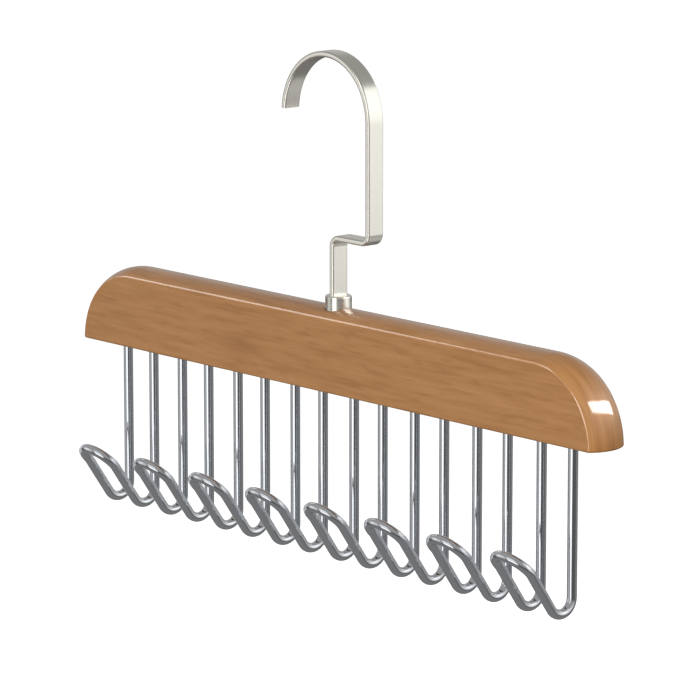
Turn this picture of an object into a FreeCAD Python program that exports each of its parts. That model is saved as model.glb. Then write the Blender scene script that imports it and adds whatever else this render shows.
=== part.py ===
import FreeCAD, Part
import Sketcher
import math
import os

# Tie hanger: a wooden bar that turns on a flat strip hook and carries a row of wire hooks.
# Frame: origin at the centre of the hook's arch, X along the bar, Y from front to back, Z up.

# Driving dimensions: lengths in millimetres, angles in degrees, counts as whole numbers.
SIZES = {
    # wooden bar
    "bar_length": 280.0,
    "bar_thick": 17.0,
    "bar_height": 30.0,
    "edge_crown": 3.0,        # how far the top and the ends swell beyond the flat faces
    "edge_round": 1.2,        # rounding where the crown meets a face
    "foot_round": 0.8,        # rounding around the underside
    # wire hooks
    "hook_count": 8,
    "end_margin": 26.6,       # end of the bar to the middle of the outermost hook
    "leg_spacing": 15.4,
    "wire_dia": 3.6,
    "wire_drop": 61.0,        # lowest point of a wire hook below the bar
    "leg_depth": 12.0,        # length of a leg inside the wood
    "glue_gap": 0.05,
    "bend_radius": 5.3,       # lower bend, at the middle of the wire
    "arm_angle": 55.5,        # rise of the arm above the level
    "arm_length": 16.5,
    "lip_radius": 6.0,        # bend near the tip, at the middle of the wire
    "lip_angle": 44.6,        # rise of the loop above the level
    # strip hook
    "strip_width": 7.3,
    "strip_thick": 2.2,
    "strip_round": 0.5,
    "arch_radius": 21.6,      # inside of the arch, where a rail sits
    "arch_height": 68.1,      # centre of the arch above the top of the bar
    "tip_rise": 1.2,          # end of the arch above its centre
    "swivel_offset": 3.5,     # swivel axis beside the centre of the arch
    "step_height": 25.4,      # middle of the level step above the top of the bar
    "step_radius": 2.2,       # inside of the two small bends
    # collar
    "collar_dia": 9.6,
    "collar_height": 4.3,     # top of the collar above the top of the bar
    "collar_round": 0.5,
    "foot_depth": 2.9,        # the strip's foot inside the collar
    "braze_gap": 0.03,
    # swivel
    "seat_depth": 1.9,        # spot face in the top of the bar
    "seat_gap": 0.25,         # around the collar
    "spindle_dia": 4.0,
    "spindle_end": 0.6,       # spindle beyond the nut
    "spindle_chamfer": 0.4,
    "running_gap": 0.05,      # between faces that turn on each other
    "bush_dia": 6.0,
    "flange_thick": 0.8,
    "socket_depth": 18.0,     # counterbore in the underside of the bar
    "socket_gap": 0.4,        # around the washer
    "washer_rim": 0.25,       # washer beyond the corners of the nut
    "washer_thick": 1.0,
    "nut_flats": 7.0,
    "nut_height": 3.2,
    "nut_crown": 1.0,         # plain round top of the nut
    "nut_crown_wall": 1.0,
}

# An edge lies on a level when it is within this share of the running gap
LEVEL_SHARE = 0.1

doc = FreeCAD.newDocument("tie_hanger")
sheet = doc.addObject("Spreadsheet::Sheet", "sizes")
for row, (alias, value) in enumerate(SIZES.items(), start=1):
    sheet.set(f"A{row}", alias)
    sheet.set(f"B{row}", str(value))
    sheet.setAlias(f"B{row}", alias)
doc.recompute()

# Expressions that several pieces share
UNDERSIDE = "-(sizes.arch_height + sizes.bar_height)"
SOCKET_DIA = "2 * sizes.socket_gap + 2 * sizes.washer_rim + sizes.nut_flats / cos(30)"
SEAT_LEVEL = "sizes.bar_height - sizes.seat_depth"
COLLAR_LEVEL = f"{SEAT_LEVEL} + sizes.flange_thick + sizes.running_gap"
COLLAR_TOP = "sizes.bar_height + sizes.collar_height"
FOOT_LEVEL = f"{COLLAR_TOP} - sizes.foot_depth"
NUT_LEVEL = "sizes.socket_depth - sizes.washer_thick - sizes.running_gap"
NUT_FOOT = f"{NUT_LEVEL} - sizes.nut_crown - sizes.nut_height"
SPINDLE_FOOT = f"{NUT_FOOT} - sizes.spindle_end"
HOOK_RUN = "(sizes.bar_length - 2 * sizes.end_margin)"
HOOK_PITCH = f"{HOOK_RUN} / (sizes.hook_count - 1)"
FIRST_HOOK = f"-{HOOK_RUN} / 2"

sub_parts = []


def size(alias):
    return float(sheet.get(alias))


def vector(x, y, z=0.0):
    return FreeCAD.Vector(x, y, z)


def new_body(label, height=UNDERSIDE):
    """A body on the swivel axis, raised to the given height."""
    body = doc.addObject("PartDesign::Body", label)
    body.Label = label
    body.setExpression("Placement.Base.x", "sizes.swivel_offset")
    body.setExpression("Placement.Base.z", height)
    sub_parts.append(body)
    return body


def new_sketch(body, name, role="XY_Plane", level=None):
    """A sketch on one of the body's own planes, moved along that plane's normal."""
    sketch = body.newObject("Sketcher::SketchObject", name)
    plane = next(f for f in body.Origin.OriginFeatures if f.Role == role)
    sketch.AttachmentSupport = (plane, [""])
    sketch.MapMode = "FlatFace"
    if level:
        sketch.setExpression("AttachmentOffset.Base.z", level)
    return sketch


def constrain(sketch, *constraint, bound=None):
    """Add one constraint; bound is the expression that drives its value."""
    index = sketch.addConstraint(Sketcher.Constraint(*constraint))
    if bound:
        sketch.setExpression(f"Constraints[{index}]", bound)


def add_circle(sketch, diameter, along=None):
    """A circle on the sketch's origin, or at a distance along its horizontal axis."""
    start = 1.0
    circle = sketch.addGeometry(Part.Circle(vector(0, 0), vector(0, 0, 1), start))
    constrain(sketch, "Diameter", circle, start, bound=diameter)
    if along:
        constrain(sketch, "PointOnObject", circle, 3, -1)
        constrain(sketch, "DistanceX", -1, 1, circle, 3, start, bound=along)
    else:
        constrain(sketch, "Coincident", circle, 3, -1, 1)


def new_feature(body, kind, name, profile, length=None, reverse=False):
    """A pad or pocket of a profile; the document is brought up to date after it."""
    feature = body.newObject(f"PartDesign::{kind}", name)
    feature.Profile = profile
    feature.Reversed = reverse
    if length:
        feature.setExpression("Length", length)
    doc.recompute()
    return feature


def round_pad(body, name, diameter, length, level=None):
    sketch = new_sketch(body, f"{name}_circle", level=level)
    add_circle(sketch, diameter)
    return new_feature(body, "Pad", name, sketch, length)


def round_pocket(body, name, diameter, length, level=None):
    """A round pocket cut upwards from its level."""
    sketch = new_sketch(body, f"{name}_circle", level=level)
    add_circle(sketch, diameter)
    return new_feature(body, "Pocket", name, sketch, length, reverse=True)


def edges_where(shape, test):
    return [f"Edge{i}" for i, edge in enumerate(shape.Edges, start=1) if test(edge)]


def dress_edges(body, kind, name, base, test, value):
    """A fillet or chamfer on those edges of the base feature that pass the test."""
    feature = body.newObject(f"PartDesign::{kind}", name)
    feature.Base = (base, edges_where(base.Shape, test))
    feature.setExpression("Radius" if kind == "Fillet" else "Size", value)
    doc.recompute()
    return feature


def lies_at(edge, level):
    box = edge.BoundBox
    return max(abs(box.ZMin - level), abs(box.ZMax - level)) < LEVEL_SHARE * size("running_gap")


def bar_section(body, name, level=None):
    """Cross-section of the bar: flat faces, a crowned top and rounded shoulders."""
    half = size("bar_thick") / 2
    crown = size("edge_crown")
    corner = size("edge_round")
    crown_radius = (half ** 2 + crown ** 2) / (2 * crown)
    crown_centre = size("bar_height") - crown_radius
    corner_x = half - corner
    corner_rise = math.sqrt((crown_radius - corner) ** 2 - corner_x ** 2)
    corner_z = crown_centre + corner_rise
    turn = math.atan2(corner_rise, corner_x)
    normal = vector(0, 0, 1)
    crown_circle = Part.Circle(vector(0, crown_centre), normal, crown_radius)
    right_circle = Part.Circle(vector(corner_x, corner_z), normal, corner)
    left_circle = Part.Circle(vector(-corner_x, corner_z), normal, corner)
    sketch = new_sketch(body, name, "YZ_Plane", level)
    foot, right, right_turn, top, left_turn, left = sketch.addGeometry([
        Part.LineSegment(vector(-half, 0), vector(half, 0)),
        Part.LineSegment(vector(half, 0), vector(half, corner_z)),
        Part.ArcOfCircle(right_circle, 0, turn),
        Part.ArcOfCircle(crown_circle, turn, math.pi - turn),
        Part.ArcOfCircle(left_circle, math.pi - turn, math.pi),
        Part.LineSegment(vector(-half, corner_z), vector(-half, 0)),
    ])
    constrain(sketch, "Coincident", foot, 2, right, 1)
    constrain(sketch, "Tangent", right, 2, right_turn, 1)
    constrain(sketch, "Tangent", right_turn, 2, top, 1)
    constrain(sketch, "Tangent", top, 2, left_turn, 1)
    constrain(sketch, "Tangent", left_turn, 2, left, 1)
    constrain(sketch, "Coincident", left, 2, foot, 1)
    constrain(sketch, "Horizontal", foot)
    constrain(sketch, "Vertical", right)
    constrain(sketch, "Vertical", left)
    constrain(sketch, "Symmetric", foot, 1, foot, 2, -1, 1)
    constrain(sketch, "PointOnObject", top, 3, -2)
    constrain(sketch, "Equal", right_turn, left_turn)
    rise = "((sizes.bar_thick / 2) ^ 2 + sizes.edge_crown ^ 2) / (2 * sizes.edge_crown)"
    constrain(sketch, "DistanceX", foot, 1, foot, 2, 2 * half, bound="sizes.bar_thick")
    constrain(sketch, "Radius", right_turn, corner, bound="sizes.edge_round")
    constrain(sketch, "Radius", top, crown_radius, bound=rise)
    constrain(sketch, "DistanceY", -1, 1, top, 3, crown_centre, bound=f"sizes.bar_height - {rise}")
    return sketch


def make_bar():
    """Wooden bar: a straight run of the section with a quarter turn of it at each end."""
    body = new_body("wooden_bar")
    run = new_feature(body, "Pad", "bar_run", bar_section(body, "run_section"),
                      "sizes.bar_length - 2 * sizes.bar_height")
    run.SideType = "Symmetric"
    end_section = bar_section(body, "end_section", "sizes.bar_length / 2 - sizes.bar_height")
    end = body.newObject("PartDesign::Revolution", "bar_end")
    end.Profile = end_section
    end.ReferenceAxis = (end_section, ["H_Axis"])
    end.Angle = 90
    end.Reversed = False
    doc.recompute()
    mirror = body.newObject("PartDesign::Mirrored", "bar_other_end")
    mirror.Originals = [end]
    mirror.MirrorPlane = (next(f for f in body.Origin.OriginFeatures if f.Role == "YZ_Plane"), [""])
    body.Tip = mirror
    doc.recompute()
    dress_edges(body, "Fillet", "underside_rounding", mirror,
                lambda edge: lies_at(edge, 0), "sizes.foot_round")
    legs = new_sketch(body, "leg_circles")
    for side in ("-", "+"):
        add_circle(legs, "sizes.wire_dia + 2 * sizes.glue_gap",
                   f"{FIRST_HOOK} {side} sizes.leg_spacing / 2")
    holes = new_feature(body, "Pocket", "leg_holes", legs, "sizes.leg_depth + sizes.glue_gap",
                        reverse=True)
    row = body.newObject("PartDesign::LinearPattern", "leg_hole_row")
    row.Originals = [holes]
    row.Direction = (legs, ["H_Axis"])
    row.setExpression("Length", HOOK_RUN)
    row.setExpression("Occurrences", "sizes.hook_count")
    body.Tip = row
    doc.recompute()
    round_pocket(body, "bush_hole", "sizes.bush_dia", "sizes.bar_height")
    round_pocket(body, "nut_socket", SOCKET_DIA, "sizes.socket_depth")
    round_pocket(body, "collar_seat", "sizes.collar_dia + 2 * sizes.seat_gap",
                 "sizes.seat_depth", SEAT_LEVEL)


def make_bush():
    """Flanged sleeve pressed into the bar."""
    body = new_body("swivel_bush")
    round_pad(body, "sleeve", "sizes.bush_dia", f"{SEAT_LEVEL} - sizes.socket_depth", "sizes.socket_depth")
    round_pad(body, "flange", "sizes.collar_dia", "sizes.flange_thick", SEAT_LEVEL)
    round_pocket(body, "bush_bore", "sizes.spindle_dia + 2 * sizes.running_gap", "sizes.bar_height")


def add_strip_section(sketch, corner_radius="sizes.strip_round"):
    """The strip's section; a larger corner radius widens it all round by as much."""
    half_x = size("strip_thick") / 2
    half_y = size("strip_width") / 2
    corner = size("strip_round")
    normal = vector(0, 0, 1)
    flat_x = half_x - corner
    flat_y = half_y - corner
    quarter = math.pi / 2
    corners = [(flat_x, flat_y), (-flat_x, flat_y), (-flat_x, -flat_y), (flat_x, -flat_y)]
    turns = [
        Part.ArcOfCircle(Part.Circle(vector(x, y), normal, corner), k * quarter, (k + 1) * quarter)
        for k, (x, y) in enumerate(corners)
    ]
    arcs = sketch.addGeometry(turns)
    lines = sketch.addGeometry([
        Part.LineSegment(turns[k].EndPoint, turns[(k + 1) % 4].StartPoint) for k in range(4)
    ])
    for k in range(4):
        constrain(sketch, "Tangent", arcs[k], 2, lines[k], 1)
        constrain(sketch, "Tangent", lines[k], 2, arcs[(k + 1) % 4], 1)
    for k in range(1, 4):
        constrain(sketch, "Equal", arcs[0], arcs[k])
    constrain(sketch, "Horizontal", lines[0])
    constrain(sketch, "Vertical", lines[1])
    constrain(sketch, "Symmetric", arcs[0], 3, arcs[2], 3, -1, 1)
    constrain(sketch, "Radius", arcs[0], corner, bound=corner_radius)
    constrain(sketch, "DistanceX", arcs[1], 3, arcs[0], 3, 2 * flat_x,
              bound="sizes.strip_thick - 2 * sizes.strip_round")
    constrain(sketch, "DistanceY", arcs[3], 3, arcs[0], 3, 2 * flat_y,
              bound="sizes.strip_width - 2 * sizes.strip_round")


def make_strip():
    """Strip hook: one section carried along stem, step, upright and arch."""
    body = new_body("strip_hook", "0")
    bend = size("step_radius") + size("strip_thick") / 2
    arch = size("arch_radius") + size("strip_thick") / 2
    foot = size("collar_height") - size("foot_depth") - size("arch_height")
    step = size("step_height") - size("arch_height")
    upright = arch - size("swivel_offset")
    middle = -size("swivel_offset")
    tip = math.pi - math.asin(size("tip_rise") / arch)
    normal = vector(0, 0, 1)
    quarter = math.pi / 2
    path = new_sketch(body, "strip_path", "XZ_Plane")
    stem, low_bend, level, high_bend, rise, round_arch = path.addGeometry([
        Part.LineSegment(vector(0, foot), vector(0, step - bend)),
        Part.ArcOfCircle(Part.Circle(vector(bend, step - bend), normal, bend), quarter, 2 * quarter),
        Part.LineSegment(vector(bend, step), vector(upright - bend, step)),
        Part.ArcOfCircle(Part.Circle(vector(upright - bend, step + bend), normal, bend),
                         3 * quarter, 4 * quarter),
        Part.LineSegment(vector(upright, step + bend), vector(upright, 0)),
        Part.ArcOfCircle(Part.Circle(vector(middle, 0), normal, arch), 0, tip),
    ])
    constrain(path, "Tangent", stem, 2, low_bend, 2)
    constrain(path, "Tangent", low_bend, 1, level, 1)
    constrain(path, "Tangent", level, 2, high_bend, 1)
    constrain(path, "Tangent", high_bend, 2, rise, 1)
    constrain(path, "Tangent", rise, 2, round_arch, 1)
    constrain(path, "Vertical", stem)
    constrain(path, "Horizontal", level)
    constrain(path, "Vertical", rise)
    constrain(path, "PointOnObject", stem, 1, -2)
    constrain(path, "PointOnObject", round_arch, 3, -1)
    constrain(path, "Equal", low_bend, high_bend)
    constrain(path, "Radius", low_bend, bend, bound="sizes.step_radius + sizes.strip_thick / 2")
    constrain(path, "Radius", round_arch, arch, bound="sizes.arch_radius + sizes.strip_thick / 2")
    constrain(path, "DistanceX", -1, 1, round_arch, 3, middle, bound="-sizes.swivel_offset")
    constrain(path, "DistanceY", -1, 1, stem, 1, foot,
              bound="sizes.collar_height - sizes.foot_depth - sizes.arch_height")
    constrain(path, "DistanceY", -1, 1, level, 1, step, bound="sizes.step_height - sizes.arch_height")
    constrain(path, "DistanceY", -1, 1, round_arch, 2, size("tip_rise"), bound="sizes.tip_rise")
    section = new_sketch(body, "strip_section",
                         level="sizes.collar_height - sizes.foot_depth - sizes.arch_height")
    add_strip_section(section)
    doc.recompute()
    bent = body.newObject("PartDesign::AdditivePipe", "bent_strip")
    bent.Profile = section
    bent.Spine = (path, [f"Edge{i}" for i in range(1, len(path.Shape.Edges) + 1)])
    doc.recompute()


def make_collar():
    """Round ferrule: slot above for the strip's foot, bore below for the spindle."""
    body = new_body("collar")
    ring = round_pad(body, "ring", "sizes.collar_dia", f"{COLLAR_TOP} - ({COLLAR_LEVEL})", COLLAR_LEVEL)
    top = size("bar_height") + size("collar_height")
    dress_edges(body, "Fillet", "rim_rounding", ring, lambda edge: lies_at(edge, top), "sizes.collar_round")
    slot = new_sketch(body, "slot_section", level=FOOT_LEVEL)
    add_strip_section(slot, "sizes.strip_round + sizes.braze_gap")
    new_feature(body, "Pocket", "strip_slot", slot, "2 * sizes.foot_depth", reverse=True)
    round_pocket(body, "spindle_bore", "sizes.spindle_dia", f"{FOOT_LEVEL} - ({COLLAR_LEVEL})", COLLAR_LEVEL)


def make_spindle():
    """Swivel pin, from the foot of the strip down through the bush and the nut."""
    body = new_body("swivel_spindle")
    pin = round_pad(body, "pin", "sizes.spindle_dia", f"{FOOT_LEVEL} - ({SPINDLE_FOOT})", SPINDLE_FOOT)
    low = (size("socket_depth") - size("washer_thick") - size("running_gap") - size("nut_crown")
           - size("nut_height") - size("spindle_end"))
    dress_edges(body, "Chamfer", "pin_chamfer", pin, lambda edge: lies_at(edge, low), "sizes.spindle_chamfer")


def make_washer():
    """Flat washer that carries the bar on the nut."""
    body = new_body("retaining_washer")
    level = "sizes.socket_depth - sizes.washer_thick"
    round_pad(body, "disc", f"{SOCKET_DIA} - 2 * sizes.socket_gap", "sizes.washer_thick", level)
    round_pocket(body, "washer_bore", "sizes.spindle_dia + 2 * sizes.running_gap", "sizes.bar_height")


def make_nut():
    """Hexagon lock nut with a plain round top."""
    body = new_body("lock_nut")
    hexagon = new_sketch(body, "hexagon", level=NUT_FOOT)
    reach = size("nut_flats") / 2 / math.cos(math.radians(30))
    corners = [
        vector(reach * math.cos(math.radians(60 * k)), reach * math.sin(math.radians(60 * k)))
        for k in range(6)
    ]
    sides = hexagon.addGeometry([Part.LineSegment(corners[k], corners[(k + 1) % 6]) for k in range(6)])
    circle = hexagon.addGeometry(Part.Circle(vector(0, 0), vector(0, 0, 1), reach), True)
    for k in range(6):
        constrain(hexagon, "Coincident", sides[k], 2, sides[(k + 1) % 6], 1)
        constrain(hexagon, "PointOnObject", sides[k], 1, circle)
    for k in range(1, 6):
        constrain(hexagon, "Equal", sides[0], sides[k])
    constrain(hexagon, "Coincident", circle, 3, -1, 1)
    constrain(hexagon, "PointOnObject", sides[0], 1, -1)
    constrain(hexagon, "Radius", circle, reach, bound="sizes.nut_flats / 2 / cos(30)")
    new_feature(body, "Pad", "nut_block", hexagon, "sizes.nut_height")
    round_pad(body, "nut_top", "sizes.spindle_dia + 2 * sizes.nut_crown_wall", "sizes.nut_crown",
              f"{NUT_FOOT} + sizes.nut_height")
    round_pocket(body, "nut_bore", "sizes.spindle_dia", "sizes.bar_height")


def wire_path():
    """Middle line of one wire hook: leg, bend, arm, lip, loop and back, from bar to bar."""
    half = size("leg_spacing") / 2
    bend = size("bend_radius")
    lip = size("lip_radius")
    arm = math.radians(size("arm_angle"))
    loop = math.radians(size("lip_angle"))
    bend_z = size("wire_dia") / 2 - size("wire_drop") + bend

    def on_bend(angle):
        return (-bend + bend * math.cos(angle), bend_z - bend * math.sin(angle))

    def on_lip(angle):
        return (lip_centre[0] + lip * math.sin(angle), lip_centre[1] + lip * math.cos(angle))

    arm_foot = on_bend(math.pi / 2 + arm)
    arm_head = (arm_foot[0] - size("arm_length") * math.cos(arm),
                arm_foot[1] + size("arm_length") * math.sin(arm))
    lip_centre = (arm_head[0] - lip * math.sin(arm), arm_head[1] - lip * math.cos(arm))
    lip_head = on_lip(loop)
    crest = (lip_head[0] - half * math.cos(loop), lip_head[1] + half * math.sin(loop))

    def side(x):
        def point(pair):
            return vector(x, pair[0], pair[1])
        return [
            Part.LineSegment(vector(x, 0, size("leg_depth")), vector(x, 0, bend_z)),
            Part.Arc(vector(x, 0, bend_z), point(on_bend((math.pi / 2 + arm) / 2)), point(arm_foot)),
            Part.LineSegment(point(arm_foot), point(arm_head)),
            Part.Arc(point(arm_head), point(on_lip((arm + loop) / 2)), point(lip_head)),
        ]

    tip = Part.Arc(vector(half, *lip_head), vector(0, *crest), vector(-half, *lip_head))
    there = [curve.toShape() for curve in side(half)]
    back = [curve.toShape() for curve in reversed(side(-half))]
    return Part.Wire(there + [tip.toShape()] + back)


def make_wire_hooks():
    """Bent hairpins of round wire, glued into the underside of the bar."""
    path = wire_path()
    radius = size("wire_dia") / 2
    start = vector(size("leg_spacing") / 2, 0, size("leg_depth"))
    profile = Part.Wire(Part.makeCircle(radius, start, vector(0, 0, 1)))
    hairpin = path.makePipeShell([profile], True, False)
    expected = math.pi * radius ** 2 * path.Length
    print("wire hook volume over section times length:", round(hairpin.Volume / expected, 4))
    for k in range(int(size("hook_count"))):
        hook = doc.addObject("Part::Feature", f"wire_hook_{k + 1}")
        hook.Label = f"wire_hook_{k + 1}"
        hook.Shape = hairpin
        hook.setExpression("Placement.Base.x", f"sizes.swivel_offset + {FIRST_HOOK} + {k} * {HOOK_PITCH}")
        hook.setExpression("Placement.Base.z", UNDERSIDE)
        sub_parts.append(hook)


make_bar()
make_bush()
make_wire_hooks()
make_strip()
make_collar()
make_spindle()
make_washer()
make_nut()
doc.recompute()

for item in doc.Objects:
    if "Invalid" in item.State or "Error" in item.State:
        raise RuntimeError(f"{item.Label} failed: {item.State}")
for part in sub_parts:
    if part.Shape.isNull() or not part.Shape.isValid() or len(part.Shape.Solids) != 1:
        raise RuntimeError(f"{part.Label} is not one valid solid")

os.makedirs("parts", exist_ok=True)
for part in sub_parts:
    part.Shape.exportStep(f"parts/{part.Label}.step")
    box = part.Shape.BoundBox
    print(part.Label, round(part.Shape.Volume, 1), "mm3, from",
          [round(v, 2) for v in (box.XMin, box.YMin, box.ZMin)],
          "to", [round(v, 2) for v in (box.XMax, box.YMax, box.ZMax)])
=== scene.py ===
# %% [markdown]
# # A tie hanger in Blender
# The object is a varnished wooden bar that hangs from a flat metal hook. A row of bent wire hooks below
# the bar takes ties, belts or scarves. The solids come from CAD and are loaded first, so every piece made
# here is in metres and in the same place as the solid it stands for. X runs along the bar, Y from front
# to back and Z up. The origin is the centre of the hook's arch, where a wardrobe rail would be.

# %% Load the CAD frame
import math

import bpy
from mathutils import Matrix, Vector


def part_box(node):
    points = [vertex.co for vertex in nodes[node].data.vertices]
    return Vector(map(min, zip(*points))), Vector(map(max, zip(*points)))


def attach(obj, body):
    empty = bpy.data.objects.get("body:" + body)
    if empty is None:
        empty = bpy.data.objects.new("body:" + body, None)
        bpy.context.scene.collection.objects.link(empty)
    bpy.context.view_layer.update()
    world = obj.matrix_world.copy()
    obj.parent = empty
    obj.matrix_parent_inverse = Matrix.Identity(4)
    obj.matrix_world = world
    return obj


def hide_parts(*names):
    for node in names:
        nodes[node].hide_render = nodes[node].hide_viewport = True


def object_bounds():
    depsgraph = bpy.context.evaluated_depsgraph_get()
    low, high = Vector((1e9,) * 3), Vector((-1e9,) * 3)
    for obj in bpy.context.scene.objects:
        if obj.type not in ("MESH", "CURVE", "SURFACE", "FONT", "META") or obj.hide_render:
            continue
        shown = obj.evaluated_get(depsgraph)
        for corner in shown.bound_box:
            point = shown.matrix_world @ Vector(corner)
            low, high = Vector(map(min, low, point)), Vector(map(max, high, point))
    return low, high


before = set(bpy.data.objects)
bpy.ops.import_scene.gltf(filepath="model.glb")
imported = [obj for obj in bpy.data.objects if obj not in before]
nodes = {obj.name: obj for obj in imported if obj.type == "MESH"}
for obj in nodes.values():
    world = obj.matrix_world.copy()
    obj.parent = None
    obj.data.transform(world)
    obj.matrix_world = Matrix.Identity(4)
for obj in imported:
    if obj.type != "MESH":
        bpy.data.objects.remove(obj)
cad_low, cad_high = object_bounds()
MM = 0.001
print("CAD nodes:", len(nodes), "size in mm:", [round(v / MM, 1) for v in cad_high - cad_low])

# %% [markdown]
# ## The camera
# The lens and the place of the camera were worked out from straight edges of the bar and from the wires,
# whose real sizes are known. A long lens stands about 1.6 m away, a little above the bar and to the right
# of its front. The camera is set by an azimuth, an elevation and a distance from one point of the bar,
# which is easier to check against a picture than raw coordinates.

# %% Camera
IMAGE_PIXELS = 700
FOCAL_PIXELS = 4538.72
SENSOR_MM = 36.0
CLIP_END = 100.0
AZIMUTH = math.radians(48.71)
ELEVATION = math.radians(11.05)
DISTANCE = 1629.75 * MM
SHIFT_RIGHT = 4.12 * MM
SHIFT_UP = 13.98 * MM

right = Vector((math.cos(AZIMUTH), math.sin(AZIMUTH), 0))
back = Vector((math.sin(AZIMUTH) * math.cos(ELEVATION),
               -math.cos(AZIMUTH) * math.cos(ELEVATION),
               math.sin(ELEVATION)))
up = back.cross(right)
bar_low, bar_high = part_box("wooden_bar")
SWIVEL_X = (bar_low.x + bar_high.x) / 2
UNDERSIDE = bar_low.z
aim = Vector((SWIVEL_X, 0, UNDERSIDE))

lens = bpy.data.cameras.new("long_lens")
lens.sensor_width = SENSOR_MM
lens.lens = SENSOR_MM * FOCAL_PIXELS / IMAGE_PIXELS
lens.clip_end = CLIP_END
camera = bpy.data.objects.new("camera", lens)
camera.location = aim + DISTANCE * back + SHIFT_RIGHT * right + SHIFT_UP * up
camera.rotation_euler = (math.pi / 2 - ELEVATION, 0, AZIMUTH)
bpy.context.scene.collection.objects.link(camera)
bpy.context.scene.camera = camera
print("camera at", [round(v, 3) for v in camera.location], "lens", round(lens.lens, 1), "mm")

# %% [markdown]
# ## A helper for node trees
# Materials, the studio and the Geometry Nodes trees are all built from nodes. One small function adds a
# node, sets its options and fills its inputs. An input takes either a plain value or the output of a node
# made earlier, so a tree reads from top to bottom like a recipe.

# %% Node helper
def open_socket(made, name):
    """The input of that name that is in use; a Mix node has one A and one B for each kind of value."""
    return next(socket for socket in made.inputs if socket.name == name and socket.enabled)


def add_node(tree, kind, inputs=None, **options):
    """Add a node; inputs maps a socket's name or number to a value or to another node's output."""
    made = tree.nodes.new(kind)
    for option, value in options.items():
        setattr(made, option, value)
    for key, value in (inputs or {}).items():
        socket = made.inputs[key] if isinstance(key, int) else open_socket(made, key)
        if isinstance(value, bpy.types.NodeSocket):
            tree.links.new(value, socket)
        else:
            socket.default_value = value
    return made


def open_result(made):
    """The output in use of a node with one output for each kind of value."""
    return next(socket for socket in made.outputs if socket.enabled)


def calc(tree, operation, first, second=0.0):
    """One step of arithmetic on values or on other nodes' outputs."""
    return add_node(tree, "ShaderNodeMath", {0: first, 1: second}, operation=operation).outputs["Value"]


print("node helpers ready")


# %% Material helpers
def new_material(label):
    """An empty node material with its shader; returns the material, its tree and the shader."""
    material = bpy.data.materials.new(label)
    material.use_nodes = True
    tree = material.node_tree
    tree.nodes.clear()
    shader = add_node(tree, "ShaderNodeBsdfPrincipled")
    add_node(tree, "ShaderNodeOutputMaterial", {"Surface": shader.outputs["BSDF"]})
    return material, tree, shader


def stretched_noise(tree, stretch, scale, detail, place=None):
    """Noise read at a place, or else at Object coordinates, stretched by a factor along each axis."""
    spot = place or add_node(tree, "ShaderNodeTexCoord").outputs["Object"]
    mapped = add_node(tree, "ShaderNodeMapping", {"Vector": spot, "Scale": stretch})
    noise = add_node(tree, "ShaderNodeTexNoise",
                     {"Vector": mapped.outputs["Vector"], "Scale": scale, "Detail": detail})
    return noise.outputs["Fac"]


def colour_ramp(tree, factor, stops):
    """Colours along a factor, given as (place, colour) pairs."""
    ramp = add_node(tree, "ShaderNodeValToRGB", {"Fac": factor})
    elements = ramp.color_ramp.elements
    middle = 0.5
    while len(elements) < len(stops):
        elements.new(middle)
    for element, (place, colour) in zip(elements, stops):
        element.position = place
        element.color = (*colour, 1)
    return ramp.outputs["Color"]


print("material helpers ready")

# %% [markdown]
# ## Varnished wood
# The bar is a pale brown hardwood under a clear gloss varnish. Its grain runs along the bar as soft, narrow
# streaks with little contrast. An image would give the same look, but noise needs no file and has no seams.
# The noise is read at a place that the bar carries in an attribute, so that the streaks run straight over
# the flat faces and follow the rounded band over the top and down the ends. Four layers are mixed: broad
# tone bands, streaks a few millimetres apart, short dark flecks and fine fibres. The varnish is the
# shader's coat, so the wood below can stay dull while the surface reflects.

# %% Wood finish
# Stretch along the bar, scale and detail of each layer of noise
GRAIN_LAYERS = {
    "bands": (0.12, 70, 2),
    "streaks": (0.10, 380, 3),
    "flecks": (0.17, 500, 1),
    "fibres": (0.03, 1700, 2),
}
STREAK_SHARE = 0.70
FIBRE_SHARE = 0.25
# Colours of the wood along the figure's noise, from dark to pale
WOOD_TONES = [
    (0.36, (0.294, 0.120, 0.0255)),
    (0.46, (0.349, 0.152, 0.0375)),
    (0.54, (0.377, 0.169, 0.047)),
    (0.66, (0.411, 0.193, 0.060)),
]
FLECK_TONE = (0.252, 0.094, 0.0165, 1)
FLECK_LIMITS = (0.56, 0.74)
FLECK_SHARE = 0.4
WOOD_ROUGHNESS = (0.42, 0.58)
FIBRE_RELIEF = 0.1 * MM
FIBRE_STRENGTH = 0.08
VARNISH = {"Coat Weight": 1.0, "Coat Roughness": 0.10, "Coat IOR": 1.5, "Specular IOR Level": 0.25}


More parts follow.
